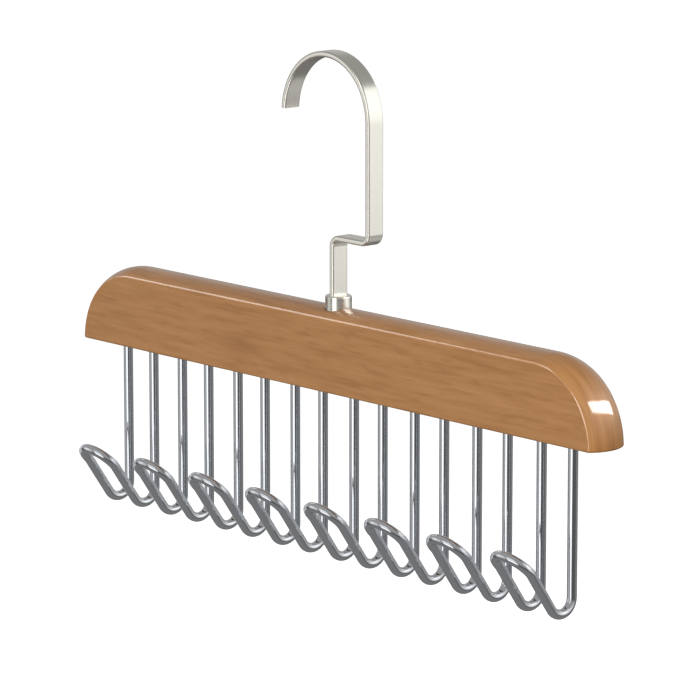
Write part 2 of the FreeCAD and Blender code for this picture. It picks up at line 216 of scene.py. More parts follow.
def varnished_wood():
    """Figured wood, read at the place that the bar carries, under a clear coat."""
    material, tree, shader = new_material("varnished_wood")
    place = add_node(tree, "ShaderNodeAttribute", attribute_name="grain_place").outputs["Vector"]
    layers = {name: stretched_noise(tree, (stretch, 1, 1), scale, detail, place)
              for name, (stretch, scale, detail) in GRAIN_LAYERS.items()}
    fibres = layers["fibres"]
    grain = add_node(tree, "ShaderNodeMix",
                     {"Factor": STREAK_SHARE, "A": layers["bands"], "B": layers["streaks"]})
    figure = add_node(tree, "ShaderNodeMix",
                      {"Factor": FIBRE_SHARE, "A": open_result(grain), "B": fibres})
    tone = colour_ramp(tree, open_result(figure), WOOD_TONES)
    fleck = add_node(tree, "ShaderNodeMapRange",
                     {"Value": layers["flecks"], "From Min": FLECK_LIMITS[0],
                      "From Max": FLECK_LIMITS[1], "To Min": 0.0, "To Max": FLECK_SHARE})
    colour = add_node(tree, "ShaderNodeMix",
                      {"Factor": fleck.outputs["Result"], "A": tone, "B": FLECK_TONE},
                      data_type="RGBA")
    dullness = add_node(tree, "ShaderNodeMapRange",
                        {"Value": fibres, "To Min": WOOD_ROUGHNESS[0], "To Max": WOOD_ROUGHNESS[1]})
    relief = add_node(tree, "ShaderNodeBump",
                      {"Strength": FIBRE_STRENGTH, "Distance": FIBRE_RELIEF, "Height": fibres})
    tree.links.new(open_result(colour), shader.inputs["Base Color"])
    tree.links.new(dullness.outputs["Result"], shader.inputs["Roughness"])
    tree.links.new(relief.outputs["Normal"], shader.inputs["Normal"])
    for name, value in VARNISH.items():
        shader.inputs[name].default_value = value
    return material


WOOD = varnished_wood()
print("made", WOOD.name)

# %% [markdown]
# ## Metal finishes
# The wires are bright chrome, a nearly clear mirror with a faint polishing haze. The flat hook and its
# collar are satin nickel: warmer, with a soft sheen that runs along the strip. The small parts of the
# swivel are zinc-plated steel and a turned brass bush. All are metals in the shader, and what tells them
# apart is colour and roughness. Noise varies the roughness, because even new plating is never uniform.

# %% Metal finishes
HAZE_DETAIL = 3
HAZE_LIMITS = (0.3, 0.7)
TONE_STOPS = (0.35, 0.65)


def plated_metal(label, colour, roughness, stretch, scale, fade, place_attribute=None):
    """A metal whose roughness follows noise between two values; fade is the darkest tone's share."""
    material, tree, shader = new_material(label)
    place = None
    if place_attribute:
        place = add_node(tree, "ShaderNodeAttribute", attribute_name=place_attribute).outputs["Vector"]
    haze = stretched_noise(tree, stretch, scale, HAZE_DETAIL, place)
    rough = add_node(tree, "ShaderNodeMapRange",
                     {"Value": haze, "From Min": HAZE_LIMITS[0], "From Max": HAZE_LIMITS[1],
                      "To Min": roughness[0], "To Max": roughness[1]})
    darker = [fade * part for part in colour]
    tone = colour_ramp(tree, haze, list(zip(TONE_STOPS, (darker, colour))))
    tree.links.new(tone, shader.inputs["Base Color"])
    tree.links.new(rough.outputs["Result"], shader.inputs["Roughness"])
    shader.inputs["Metallic"].default_value = 1.0
    return material


# Name, colour, range of roughness, stretch and scale of the noise, and fade
IVORY = (0.87, 0.845, 0.765)
CHROME = plated_metal("bright_chrome", (0.805, 0.83, 0.865), (0.05, 0.065), (1, 1, 0.2), 350, 0.985)
NICKEL = plated_metal("satin_nickel", IVORY, (0.19, 0.27), (0.05, 0.05, 1), 2500, 0.95)
BRUSHED = plated_metal("satin_strip", IVORY, (0.19, 0.27), (0.03, 1, 1), 1500, 0.94, "strip_place")
ZINC = plated_metal("zinc_steel", (0.70, 0.71, 0.72), (0.28, 0.42), (1, 1, 1), 1200, 0.94)
BRASS = plated_metal("bush_brass", (0.78, 0.58, 0.28), (0.20, 0.32), (0.1, 0.1, 1), 2000, 0.94)
print("made", [m.name for m in (CHROME, NICKEL, BRUSHED, ZINC, BRASS)])

# %% [markdown]
# ## Pieces that follow a path
# The wires and the flat hook are bent metal: straight runs with a round bend at each corner. So each is
# drawn as a short chain of corner points, and every point carries the radius of its bend. Geometry Nodes
# then rounds the corners and carries a section along the path. Drawing the curves by hand would work too,
# but here a size can be changed later and the shape follows. The bar uses such a chain as well, a straight
# one without bends.

# %% Corner chains
def corner_chain(label, corners):
    """A mesh chain through corner points, given as (point, bend radius, steps in the bend) in metres."""
    mesh = bpy.data.meshes.new(label)
    edges = [(k, k + 1) for k in range(len(corners) - 1)]
    mesh.from_pydata([point for point, radius, steps in corners], edges, [])
    radii = mesh.attributes.new("bend_radius", "FLOAT", "POINT")
    radii.data.foreach_set("value", [radius for point, radius, steps in corners])
    counts = mesh.attributes.new("bend_steps", "INT", "POINT")
    counts.data.foreach_set("value", [steps for point, radius, steps in corners])
    chain = bpy.data.objects.new(label, mesh)
    bpy.context.scene.collection.objects.link(chain)
    return chain


print("corner chains ready")

# %% Geometry tree helpers
CREASE_ANGLE = math.radians(32)


def new_geometry_tree(label, sizes):
    """A Geometry Nodes tree with named size inputs; returns the tree and its input node."""
    tree = bpy.data.node_groups.new(label, "GeometryNodeTree")
    tree.interface.new_socket("Geometry", in_out="INPUT", socket_type="NodeSocketGeometry")
    for name, kind in sizes.items():
        tree.interface.new_socket(name, in_out="INPUT", socket_type=f"NodeSocket{kind}")
    tree.interface.new_socket("Geometry", in_out="OUTPUT", socket_type="NodeSocketGeometry")
    return tree, add_node(tree, "NodeGroupInput").outputs


def rounded_path(tree, geometry):
    """The chain as a curve with a round bend at each corner."""
    curve = add_node(tree, "GeometryNodeMeshToCurve", {"Mesh": geometry})
    radius = add_node(tree, "GeometryNodeInputNamedAttribute", {"Name": "bend_radius"}, data_type="FLOAT")
    steps = add_node(tree, "GeometryNodeInputNamedAttribute", {"Name": "bend_steps"}, data_type="INT")
    bent = add_node(tree, "GeometryNodeFilletCurve",
                    {"Curve": curve.outputs["Curve"], "Radius": radius.outputs["Attribute"],
                     "Count": steps.outputs["Attribute"], "Limit Radius": True}, mode="POLY")
    return bent.outputs["Curve"]


def finish_tree(tree, geometry, finish):
    """Realize, shade smooth with creases kept, set the finish and end the tree."""
    real = add_node(tree, "GeometryNodeRealizeInstances", {"Geometry": geometry})
    smooth = add_node(tree, "GeometryNodeSetShadeSmooth", {"Geometry": real.outputs["Geometry"]})
    angle = add_node(tree, "GeometryNodeInputMeshEdgeAngle")
    sharp = add_node(tree, "FunctionNodeCompare",
                     {"A": angle.outputs["Unsigned Angle"], "B": CREASE_ANGLE}, operation="GREATER_THAN")
    creased = add_node(tree, "GeometryNodeSetShadeSmooth",
                       {"Geometry": smooth.outputs["Geometry"], "Selection": sharp.outputs["Result"],
                        "Shade Smooth": False}, domain="EDGE")
    dressed = add_node(tree, "GeometryNodeSetMaterial",
                       {"Geometry": creased.outputs["Geometry"], "Material": finish})
    add_node(tree, "NodeGroupOutput", {"Geometry": dressed.outputs["Geometry"]})


def use_tree(piece, tree, values):
    """Add the tree to a piece as a modifier and set its inputs by socket identifier."""
    modifier = piece.modifiers.new(tree.name, "NODES")
    modifier.node_group = tree
    for socket in tree.interface.items_tree:
        if socket.in_out == "INPUT" and socket.name in values:
            modifier[socket.identifier] = values[socket.name]


def plain_mesh(piece):
    """Evaluate the modifiers once, keep the result as the piece's own mesh and drop the modifiers."""
    bpy.context.view_layer.update()
    evaluated = piece.evaluated_get(bpy.context.evaluated_depsgraph_get())
    mesh = bpy.data.meshes.new_from_object(evaluated)
    piece.modifiers.clear()
    piece.data = mesh
    mesh.name = piece.name
    print(piece.name, "has", len(mesh.polygons), "faces")


print("tree helpers ready; edges stay sharp above", round(math.degrees(CREASE_ANGLE)), "degrees")

# %% [markdown]
# ## The wire hooks
# Each hook is one length of round wire bent like a hairpin: down one leg, round the lower bend, up the
# arm, over the half-round loop at the tip and back the same way. One hairpin is made and set out along the
# bar at an even pitch. Instances keep that cheap, and they are realized at the end because only real
# geometry leaves the file. A bevelled curve copied by hand would look alike, but would not keep its pitch.

# %% Wire hook sizes and corners
WIRE = 3.6 * MM
LEG_SPACING = 15.4 * MM
LEG_DEPTH = 12.0 * MM
WIRE_DROP = 61.0 * MM
BEND_RADIUS = 5.3 * MM
ARM_ANGLE = math.radians(55.5)
ARM_LENGTH = 16.5 * MM
LIP_RADIUS = 6.0 * MM
LIP_ANGLE = math.radians(44.6)
HOOK_COUNT = 8
END_MARGIN = 26.6 * MM
HOOK_RUN = bar_high.x - bar_low.x - 2 * END_MARGIN
HOOK_PITCH = HOOK_RUN / (HOOK_COUNT - 1)
FIRST_HOOK_X = SWIVEL_X - HOOK_RUN / 2
WIRE_SIDES = 28
BEND_STEPS = 24
LIP_STEPS = 5
LOOP_STEPS = 16


def hairpin_corners():
    """Corner points from leg to leg, in front of the bar's middle plane."""
    half = LEG_SPACING / 2
    bend_turn = math.pi / 2 + ARM_ANGLE
    bend_reach = BEND_RADIUS * math.tan(bend_turn / 2)
    lip_reach = LIP_RADIUS * math.tan((ARM_ANGLE - LIP_ANGLE) / 2)
    arm_way = Vector((0, -math.cos(ARM_ANGLE), math.sin(ARM_ANGLE)))
    lip_way = Vector((0, -math.cos(LIP_ANGLE), math.sin(LIP_ANGLE)))
    leg_top = Vector((0, 0, UNDERSIDE + LEG_DEPTH))
    bend = Vector((0, 0, UNDERSIDE + WIRE / 2 - WIRE_DROP + BEND_RADIUS - bend_reach))
    lip = bend + (bend_reach + ARM_LENGTH + lip_reach) * arm_way
    tip = lip + (lip_reach + half) * lip_way
    side = [(leg_top, 0, 1), (bend, BEND_RADIUS, BEND_STEPS), (lip, LIP_RADIUS, LIP_STEPS),
            (tip, half, LOOP_STEPS)]
    aside = Vector((half, 0, 0))
    there = [(point + aside, radius, steps) for point, radius, steps in side]
    return there + [(point - aside, radius, steps) for point, radius, steps in reversed(side)]


wires = corner_chain("chrome_wire_hooks", hairpin_corners())
print("one hairpin has", len(wires.data.vertices), "corners; pitch", round(HOOK_PITCH / MM, 2), "mm")

# %% Wire hook tree
wire_tree, given = new_geometry_tree("wire_hook_row", {
    "Wire Diameter": "Float", "Wire Sides": "Int", "Hook Count": "Int", "First Hook": "Vector",
    "Pitch": "Vector", "Finish": "Material"})
wire_radius = calc(wire_tree, "DIVIDE", given["Wire Diameter"], 2.0)
wire_section = add_node(wire_tree, "GeometryNodeCurvePrimitiveCircle",
                        {"Resolution": given["Wire Sides"], "Radius": wire_radius})
hairpin = add_node(wire_tree, "GeometryNodeCurveToMesh",
                   {"Curve": rounded_path(wire_tree, given["Geometry"]),
                    "Profile Curve": wire_section.outputs["Curve"], "Fill Caps": True})
places = add_node(wire_tree, "GeometryNodeMeshLine",
                  {"Count": given["Hook Count"], "Start Location": given["First Hook"],
                   "Offset": given["Pitch"]}, mode="OFFSET")
hook_row = add_node(wire_tree, "GeometryNodeInstanceOnPoints",
                    {"Points": places.outputs["Mesh"], "Instance": hairpin.outputs["Mesh"]})
finish_tree(wire_tree, hook_row.outputs["Instances"], given["Finish"])
use_tree(wires, wire_tree, {
    "Wire Diameter": WIRE, "Wire Sides": WIRE_SIDES, "Hook Count": HOOK_COUNT,
    "First Hook": (FIRST_HOOK_X, 0, 0), "Pitch": (HOOK_PITCH, 0, 0), "Finish": CHROME})
plain_mesh(wires)
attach(wires, "bar")
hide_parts(*[f"wire_hook_{k + 1}" for k in range(HOOK_COUNT)])

# %% [markdown]
# ## The flat hook
# The hook is one flat strip with rounded edges. It stands in the collar, steps sideways, rises and bends
# over in a half circle that ends in a blunt tip. Its path is again a chain of corners. The half circle is
# three equal bends in a row, because a chain can't turn back on itself in one corner. The tree also stores
# how far along and across the strip each point lies, so that the satin finish follows the bends.

# %% Flat hook sizes and corners
STRIP_WIDTH = 7.3 * MM
STRIP_THICK = 2.2 * MM
STRIP_ROUND = 0.8 * MM
RAIL_RADIUS = 21.6 * MM
ARCH = RAIL_RADIUS + STRIP_THICK / 2
STEP_RISE = 25.4 * MM
STEP_Z = bar_high.z + STEP_RISE
STEP_INSIDE = 2.2 * MM
STEP_BEND = STEP_INSIDE + STRIP_THICK / 2
FOOT_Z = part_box("strip_hook")[0].z
TIP_RISE = 1.2 * MM
ARCH_TURNS = 3
ARCH_STEPS = 20
STEP_STEPS = 16
EDGE_STEPS = 9


def strip_corners():
    """Corner points from the foot in the collar to the blunt tip."""
    sweep = math.pi - math.asin(TIP_RISE / ARCH)
    turn = sweep / ARCH_TURNS
    reach = ARCH / math.cos(turn / 2)
    middles = [(k + 0.5) * turn for k in range(ARCH_TURNS)]
    arch = [(Vector((reach * math.cos(angle), 0, reach * math.sin(angle))), ARCH, ARCH_STEPS)
            for angle in middles]
    tip = Vector((ARCH * math.cos(sweep), 0, ARCH * math.sin(sweep)))
    stem = [
        (Vector((SWIVEL_X, 0, FOOT_Z)), 0, 1),
        (Vector((SWIVEL_X, 0, STEP_Z)), STEP_BEND, STEP_STEPS),
        (Vector((ARCH, 0, STEP_Z)), STEP_BEND, STEP_STEPS),
    ]
    return stem + arch + [(tip, 0, 1)]


strip = corner_chain("satin_flat_hook", strip_corners())
print("the strip has", len(strip.data.vertices), "corners")

# %% Flat hook tree
strip_tree, given = new_geometry_tree("flat_hook", {
    "Strip Width": "Float", "Strip Thickness": "Float", "Edge Radius": "Float", "Finish": "Material"})
strip_plan = add_node(strip_tree, "GeometryNodeCurvePrimitiveQuadrilateral",
                      {"Width": given["Strip Thickness"], "Height": given["Strip Width"]})
strip_section = add_node(strip_tree, "GeometryNodeFilletCurve",
                         {"Curve": strip_plan.outputs["Curve"], "Radius": given["Edge Radius"],
                          "Count": EDGE_STEPS}, mode="POLY")
strip_path = rounded_path(strip_tree, given["Geometry"])
along = add_node(strip_tree, "GeometryNodeSplineParameter")
marked = add_node(strip_tree, "GeometryNodeCaptureAttribute", {"Geometry": strip_path})
marked.capture_items.new("FLOAT", "Along")
strip_tree.links.new(along.outputs["Length"], marked.inputs["Along"])
swept = add_node(strip_tree, "GeometryNodeCurveToMesh",
                 {"Curve": marked.outputs["Geometry"], "Profile Curve": strip_section.outputs["Curve"],
                  "Fill Caps": True})
spot = add_node(strip_tree, "ShaderNodeSeparateXYZ",
                {"Vector": add_node(strip_tree, "GeometryNodeInputPosition").outputs["Position"]})
strip_place = add_node(strip_tree, "ShaderNodeCombineXYZ",
                       {"X": marked.outputs["Along"], "Y": spot.outputs["Y"]})
placed = add_node(strip_tree, "GeometryNodeStoreNamedAttribute",
                  {"Geometry": swept.outputs["Mesh"], "Name": "strip_place",
                   "Value": strip_place.outputs["Vector"]}, data_type="FLOAT_VECTOR", domain="POINT")
finish_tree(strip_tree, placed.outputs["Geometry"], given["Finish"])
use_tree(strip, strip_tree, {
    "Strip Width": STRIP_WIDTH, "Strip Thickness": STRIP_THICK, "Edge Radius": STRIP_ROUND,
    "Finish": BRUSHED})
strip.modifiers.new("even_flats", "WEIGHTED_NORMAL").keep_sharp = True
plain_mesh(strip)
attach(strip, "hook")
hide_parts("strip_hook")

# %% [markdown]
# ## The wooden bar
# The bar follows one rule: a section with flat faces, rounded shoulders and a crowned top runs along the
# bar, and at each end it makes a quarter turn about its foot. That gives the quarter-round corners and the
# crowned ends in one go. Bevelling a box would round the edges, but it could not give this crown. So the
# section is drawn as a ring of points, and a straight line of stations says where it is needed: close
# together near the collar's seat and in the ends, and nowhere else.

# %% Bar sizes and section
BAR_HEIGHT = 30.0 * MM
BAR_HALF = 8.5 * MM
CROWN = 3.0 * MM
SHOULDER = 1.2 * MM
FOOT_ROUND = 0.8 * MM
BAR_RUN = (bar_high.x - bar_low.x) / 2 - BAR_HEIGHT
NEAR_COLLAR = 40.0 * MM
END_STEPS = 40
SEAT_STEPS = 32
FOOT_STEPS = 4


def half_section(crown_steps=20, shoulder_steps=10):
    """Back half of the section as (across, height) pairs, from the foot up to the middle of the crown."""
    crown_radius = (BAR_HALF ** 2 + CROWN ** 2) / (2 * CROWN)
    crown_z = BAR_HEIGHT - crown_radius
    turn_y = BAR_HALF - SHOULDER
    turn_rise = math.sqrt((crown_radius - SHOULDER) ** 2 - turn_y ** 2)
    turn = math.atan2(turn_rise, turn_y)
    pairs = [(BAR_HALF, 0.0)]
    for k in range(shoulder_steps + 1):
        angle = turn * k / shoulder_steps
        pairs.append((turn_y + SHOULDER * math.cos(angle),
                      crown_z + turn_rise + SHOULDER * math.sin(angle)))
    for k in range(1, crown_steps + 1):
        angle = turn + (math.pi / 2 - turn) * k / crown_steps
        pairs.append((crown_radius * math.cos(angle), crown_z + crown_radius * math.sin(angle)))
    return pairs


def section_ring(label, pairs):
    """Both halves as a closed chain, signs turned, because a line along X carries its plan upside down."""
    outline = pairs[:-1] + [(0.0, BAR_HEIGHT)] + [(-across, height) for across, height in pairs[-2::-1]]
    mesh = bpy.data.meshes.new(label)
    count = len(outline)
    mesh.from_pydata([(-across, -height, 0) for across, height in outline],
                     [(k, (k + 1) % count) for k in range(count)], [])
    return bpy.data.objects.new(label, mesh)


bar_ring = section_ring("bar_section", half_section())
bend_marks = [BAR_RUN + BAR_HEIGHT * k / END_STEPS for k in range(END_STEPS + 1)]
seat_marks = [NEAR_COLLAR * (k + 0.5) / SEAT_STEPS for k in range(SEAT_STEPS)]
side_marks = seat_marks + bend_marks
stations = [-mark for mark in reversed(side_marks)] + side_marks
bar = corner_chain("varnished_bar", [(aim + Vector((x, 0, 0)), 0, 1) for x in stations])
print("the section has", len(bar_ring.data.vertices), "points, the line", len(stations), "stations")

# %% [markdown]
# ### Bending the ends
# The crown goes over the top and down each end in one sweep, as a cutter that follows the outline leaves
# it. The tree carries the section along the straight line, then turns both ends down with Set Position,
# and merges the points that fall together on the foot. A path with round corners could carry the section
# too, but its inner side would fold over at the foot. Here each point only turns about the foot.

# %% Bar tree
MERGE_DISTANCE = 0.002 * MM
bar_tree, given = new_geometry_tree("crowned_bar", {
    "Section": "Object", "Middle": "Float", "Straight Run": "Float", "Height": "Float",
    "Underside": "Float", "Merge Distance": "Float"})
section_shape = add_node(bar_tree, "GeometryNodeObjectInfo", {"Object": given["Section"]})
section_curve = add_node(bar_tree, "GeometryNodeMeshToCurve", {"Mesh": section_shape.outputs["Geometry"]})
bar_line = add_node(bar_tree, "GeometryNodeMeshToCurve", {"Mesh": given["Geometry"]})
bar_swept = add_node(bar_tree, "GeometryNodeCurveToMesh",
                     {"Curve": bar_line.outputs["Curve"], "Profile Curve": section_curve.outputs["Curve"],
                      "Fill Caps": True})
where = add_node(bar_tree, "ShaderNodeSeparateXYZ",
                 {"Vector": add_node(bar_tree, "GeometryNodeInputPosition").outputs["Position"]}).outputs
from_middle = calc(bar_tree, "SUBTRACT", where["X"], given["Middle"])
side = calc(bar_tree, "SIGN", from_middle)
outward = calc(bar_tree, "ABSOLUTE", from_middle)
past_run = calc(bar_tree, "MAXIMUM", calc(bar_tree, "SUBTRACT", outward, given["Straight Run"]), 0.0)
turned = calc(bar_tree, "MULTIPLY", calc(bar_tree, "DIVIDE", past_run, given["Height"]), math.pi / 2)
height = calc(bar_tree, "SUBTRACT", where["Z"], given["Underside"])
swing = calc(bar_tree, "MULTIPLY", height, calc(bar_tree, "SINE", turned))
bent_out = calc(bar_tree, "ADD", calc(bar_tree, "MINIMUM", outward, given["Straight Run"]), swing)
bent_x = calc(bar_tree, "ADD", given["Middle"], calc(bar_tree, "MULTIPLY", side, bent_out))
bent_z = calc(bar_tree, "ADD", given["Underside"],
              calc(bar_tree, "MULTIPLY", height, calc(bar_tree, "COSINE", turned)))
bent_place = add_node(bar_tree, "ShaderNodeCombineXYZ", {"X": bent_x, "Y": where["Y"], "Z": bent_z})
kept_place = add_node(bar_tree, "GeometryNodeStoreNamedAttribute",
                      {"Geometry": bar_swept.outputs["Mesh"], "Name": "straight_place",
                       "Value": add_node(bar_tree, "GeometryNodeInputPosition").outputs["Position"]},
                      data_type="FLOAT_VECTOR", domain="POINT")
bent_bar = add_node(bar_tree, "GeometryNodeSetPosition",
                    {"Geometry": kept_place.outputs["Geometry"], "Position": bent_place.outputs["Vector"]})
merged = add_node(bar_tree, "GeometryNodeMergeByDistance",
                  {"Geometry": bent_bar.outputs["Geometry"], "Distance": given["Merge Distance"]})
print("bending takes", len(bar_tree.nodes), "nodes so far")

# %% [markdown]
# ### Edges of the underside
# The edges round the underside are slightly rounded, as sanding leaves them. The tree marks them with a
# bevel weight, and a Bevel modifier then rounds the marked edges only. A limit by angle would do here as
# well, but marks stay right if another sharp edge is added later.

# %% Marked edges of the underside
SHARP_ANGLE = math.radians(60)
low_limit = calc(bar_tree, "ADD", given["Underside"], given["Merge Distance"])
at_foot = add_node(bar_tree, "FunctionNodeCompare",
                   {"A": where["Z"], "B": low_limit}, operation="LESS_THAN")
turning = add_node(bar_tree, "FunctionNodeCompare",
                   {"A": add_node(bar_tree, "GeometryNodeInputMeshEdgeAngle").outputs["Unsigned Angle"],
                    "B": SHARP_ANGLE}, operation="GREATER_THAN")
foot_edges = add_node(bar_tree, "FunctionNodeBooleanMath",
                      {0: at_foot.outputs["Result"], 1: turning.outputs["Result"]}, operation="AND")
weighted = add_node(bar_tree, "GeometryNodeStoreNamedAttribute",
                    {"Geometry": merged.outputs["Geometry"], "Selection": foot_edges.outputs["Boolean"],
                     "Name": "bevel_weight_edge", "Value": 1.0}, data_type="FLOAT", domain="EDGE")
print("underside edges marked")

# %% [markdown]
# ### Where the grain is read
# On the flat faces the streaks run level, along the bar. Over the top and down the ends they follow the
# rounded band. So the tree stores a place for the wood's noise at every face corner: the corner's own place
# on the flat faces, and its place before bending elsewhere. An unwrapped image could do this too, but it
# would need a file and would have to be fitted again after each change of size.

# %% Grain place
FLAT_LIMIT = 0.95
here = add_node(bar_tree, "GeometryNodeInputPosition").outputs["Position"]
face_way = add_node(bar_tree, "GeometryNodeFieldOnDomain",
                    {"Value": add_node(bar_tree, "GeometryNodeInputNormal").outputs["Normal"]},
                    data_type="FLOAT_VECTOR", domain="FACE")
face_y = add_node(bar_tree, "ShaderNodeSeparateXYZ", {"Vector": open_result(face_way)}).outputs["Y"]
flat_face = add_node(bar_tree, "FunctionNodeCompare",
                     {"A": calc(bar_tree, "ABSOLUTE", face_y), "B": FLAT_LIMIT}, operation="GREATER_THAN")
straight = add_node(bar_tree, "GeometryNodeInputNamedAttribute",
                    {"Name": "straight_place"}, data_type="FLOAT_VECTOR")
grain_place = add_node(bar_tree, "GeometryNodeSwitch",
                       {"Switch": flat_face.outputs["Result"], "False": open_result(straight),
                        "True": here}, input_type="VECTOR")
grained = add_node(bar_tree, "GeometryNodeStoreNamedAttribute",
                   {"Geometry": weighted.outputs["Geometry"], "Name": "grain_place",
                    "Value": grain_place.outputs["Output"]}, data_type="FLOAT_VECTOR", domain="CORNER")
add_node(bar_tree, "NodeGroupOutput", {"Geometry": grained.outputs["Geometry"]})
use_tree(bar, bar_tree, {
    "Section": bar_ring, "Middle": SWIVEL_X, "Straight Run": BAR_RUN, "Height": BAR_HEIGHT,
    "Underside": UNDERSIDE, "Merge Distance": MERGE_DISTANCE})
foot_bevel = bar.modifiers.new("underside_rounding", "BEVEL")
foot_bevel.limit_method = "WEIGHT"
foot_bevel.width = FOOT_ROUND
foot_bevel.segments = FOOT_STEPS
print("bar tree has", len(bar_tree.nodes), "nodes")

# %% [markdown]
# ## Holes in the bar
# The wires stand in drilled holes and the collar in a shallow seat. The swivel's bush goes through the bar,
# and its nut has a wide socket that is open below. One tree makes all the cutters from cylinders and takes
# them away with a single boolean, which keeps the crown's surface exact around the collar. Faces cut by hand
# could look the same, but they would have to be cut again after each change of size.

# %% Hole sizes
GLUE_GAP = 0.05 * MM
COLLAR_SEAT = 10.1 * MM
SEAT_DEPTH = 1.9 * MM
BUSH_HOLE = 6.0 * MM
NUT_SOCKET = 9.38 * MM
SOCKET_DEPTH = 18.0 * MM
OVERRUN = 5.0 * MM
DRILL_SIDES = 64
print("leg holes:", 2 * HOOK_COUNT, "of", round((WIRE + 2 * GLUE_GAP) / MM, 2), "mm")

# %% Leg holes
hole_tree, given = new_geometry_tree("drilled_bar", {
    "Leg Hole": "Float", "Leg Depth": "Float", "Leg Spacing": "Float", "Hook Count": "Int",
    "First Hook": "Vector", "Pitch": "Vector", "Finish": "Material"})


def drill(diameter, length, middle):
    """A round cutter of a diameter and a length, centred on a point."""
    rod = add_node(hole_tree, "GeometryNodeMeshCylinder",
                   {"Vertices": DRILL_SIDES, "Radius": calc(hole_tree, "DIVIDE", diameter, 2.0),
                    "Depth": length})
    moved = add_node(hole_tree, "GeometryNodeTransform",
                     {"Geometry": rod.outputs["Mesh"], "Translation": middle})
    return moved.outputs["Geometry"]


leg_drill = drill(given["Leg Hole"], calc(hole_tree, "MULTIPLY", given["Leg Depth"], 2.0), (0, 0, 0))
cutters = add_node(hole_tree, "GeometryNodeJoinGeometry")
for share in (-0.5, 0.5):
    aside = add_node(hole_tree, "ShaderNodeCombineXYZ",
                     {"X": calc(hole_tree, "MULTIPLY", given["Leg Spacing"], share)})
    start = add_node(hole_tree, "ShaderNodeVectorMath",
                     {0: given["First Hook"], 1: aside.outputs["Vector"]})
    row = add_node(hole_tree, "GeometryNodeMeshLine",
                   {"Count": given["Hook Count"], "Start Location": start.outputs["Vector"],
                    "Offset": given["Pitch"]}, mode="OFFSET")
    drills = add_node(hole_tree, "GeometryNodeInstanceOnPoints",
                      {"Points": row.outputs["Mesh"], "Instance": leg_drill})
    real_drills = add_node(hole_tree, "GeometryNodeRealizeInstances",
                           {"Geometry": drills.outputs["Instances"]})
    hole_tree.links.new(real_drills.outputs["Geometry"], cutters.inputs["Geometry"])
print("two rows of leg drills")

# %% Swivel holes and the cut
seat_floor = UNDERSIDE + BAR_HEIGHT - SEAT_DEPTH
for cutter in (
    drill(NUT_SOCKET, 2 * SOCKET_DEPTH, (SWIVEL_X, 0, UNDERSIDE)),
    drill(COLLAR_SEAT, OVERRUN, (SWIVEL_X, 0, seat_floor + OVERRUN / 2)),
):
    hole_tree.links.new(cutter, cutters.inputs["Geometry"])
drilled = add_node(hole_tree, "GeometryNodeMeshBoolean",
                   {"Mesh 1": given["Geometry"], "Mesh 2": cutters.outputs["Geometry"]},
                   operation="DIFFERENCE", solver="EXACT")
bush_drill = drill(BUSH_HOLE, BAR_HEIGHT, (SWIVEL_X, 0, UNDERSIDE + BAR_HEIGHT / 2))
hole_tree.links.new(bush_drill, drilled.inputs["Mesh 2"])
finish_tree(hole_tree, drilled.outputs["Mesh"], given["Finish"])
use_tree(bar, hole_tree, {
    "Leg Hole": WIRE + 2 * GLUE_GAP, "Leg Depth": LEG_DEPTH + GLUE_GAP, "Leg Spacing": LEG_SPACING,
    "Hook Count": HOOK_COUNT, "First Hook": (FIRST_HOOK_X, 0, UNDERSIDE), "Pitch": (HOOK_PITCH, 0, 0),
    "Finish": WOOD})
bar.modifiers.new("even_flats", "WEIGHTED_NORMAL").keep_sharp = True
plain_mesh(bar)
bar.data.attributes.remove(bar.data.attributes["straight_place"])
bpy.data.objects.remove(bar_ring)
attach(bar, "bar")
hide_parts("wooden_bar")

# %% [markdown]
# ## Collar and swivel parts
# The collar, the spindle, the bush, the washer and the nut are turned parts whose CAD solids already have
# the right shape and fine round faces. They stay as they are and only get their finishes.

# %% Finishes on the CAD nodes
node_finish = {"collar": NICKEL, "swivel_spindle": ZINC, "swivel_bush": BRASS,
               "retaining_washer": ZINC, "lock_nut": ZINC}
for name, finish in node_finish.items():
    nodes[name].data.materials.clear()
    nodes[name].data.materials.append(finish)
print("finished", sorted(node_finish))

# %% [markdown]
# ## Floor
# The hanger hangs in the air, so the floor is a plain pale plane well below it. It glows a little to come
# out white, and it lights nothing on the object. A white world alone would look much the same from here,
# but a real plane stays in place for other views.

# %% Floor
WHITE = (1, 1, 1, 1)
FLOOR_DROP = 0.45
FLOOR_HALF = 30.0
FLOOR_TONE = 0.9
FLOOR_ROUGHNESS = 0.9
FLOOR_GLOW = 0.72
floor_z = cad_low.z - FLOOR_DROP
floor_corners = [(FLOOR_HALF * x, FLOOR_HALF * y, floor_z)
                 for x, y in ((-1, -1), (1, -1), (1, 1), (-1, 1))]
floor_mesh = bpy.data.meshes.new("pale_floor")
floor_mesh.from_pydata(floor_corners, [], [range(len(floor_corners))])
floor_paint, _, floor_shader = new_material("pale_floor")
floor_shader.inputs["Base Color"].default_value = (FLOOR_TONE, FLOOR_TONE, FLOOR_TONE, 1)
floor_shader.inputs["Roughness"].default_value = FLOOR_ROUGHNESS
floor_shader.inputs["Emission Color"].default_value = WHITE
floor_shader.inputs["Emission Strength"].default_value = FLOOR_GLOW
floor_mesh.materials.append(floor_paint)
floor = bpy.data.objects.new("pale_floor", floor_mesh)
floor.visible_glossy = False
floor.visible_diffuse = False
bpy.context.scene.collection.objects.link(floor)
print("floor", FLOOR_DROP, "m below the lowest wire")

# %% [markdown]
# ## Studio
# Polished metal shows little but its surroundings, so the studio matters more than the metals' own colour.
# The world is a soft grey that is darkest at the horizon, with a soft panel at the left and another behind.
# A picture of a real studio could do this, but a few nodes need no file and each panel can be set alone.

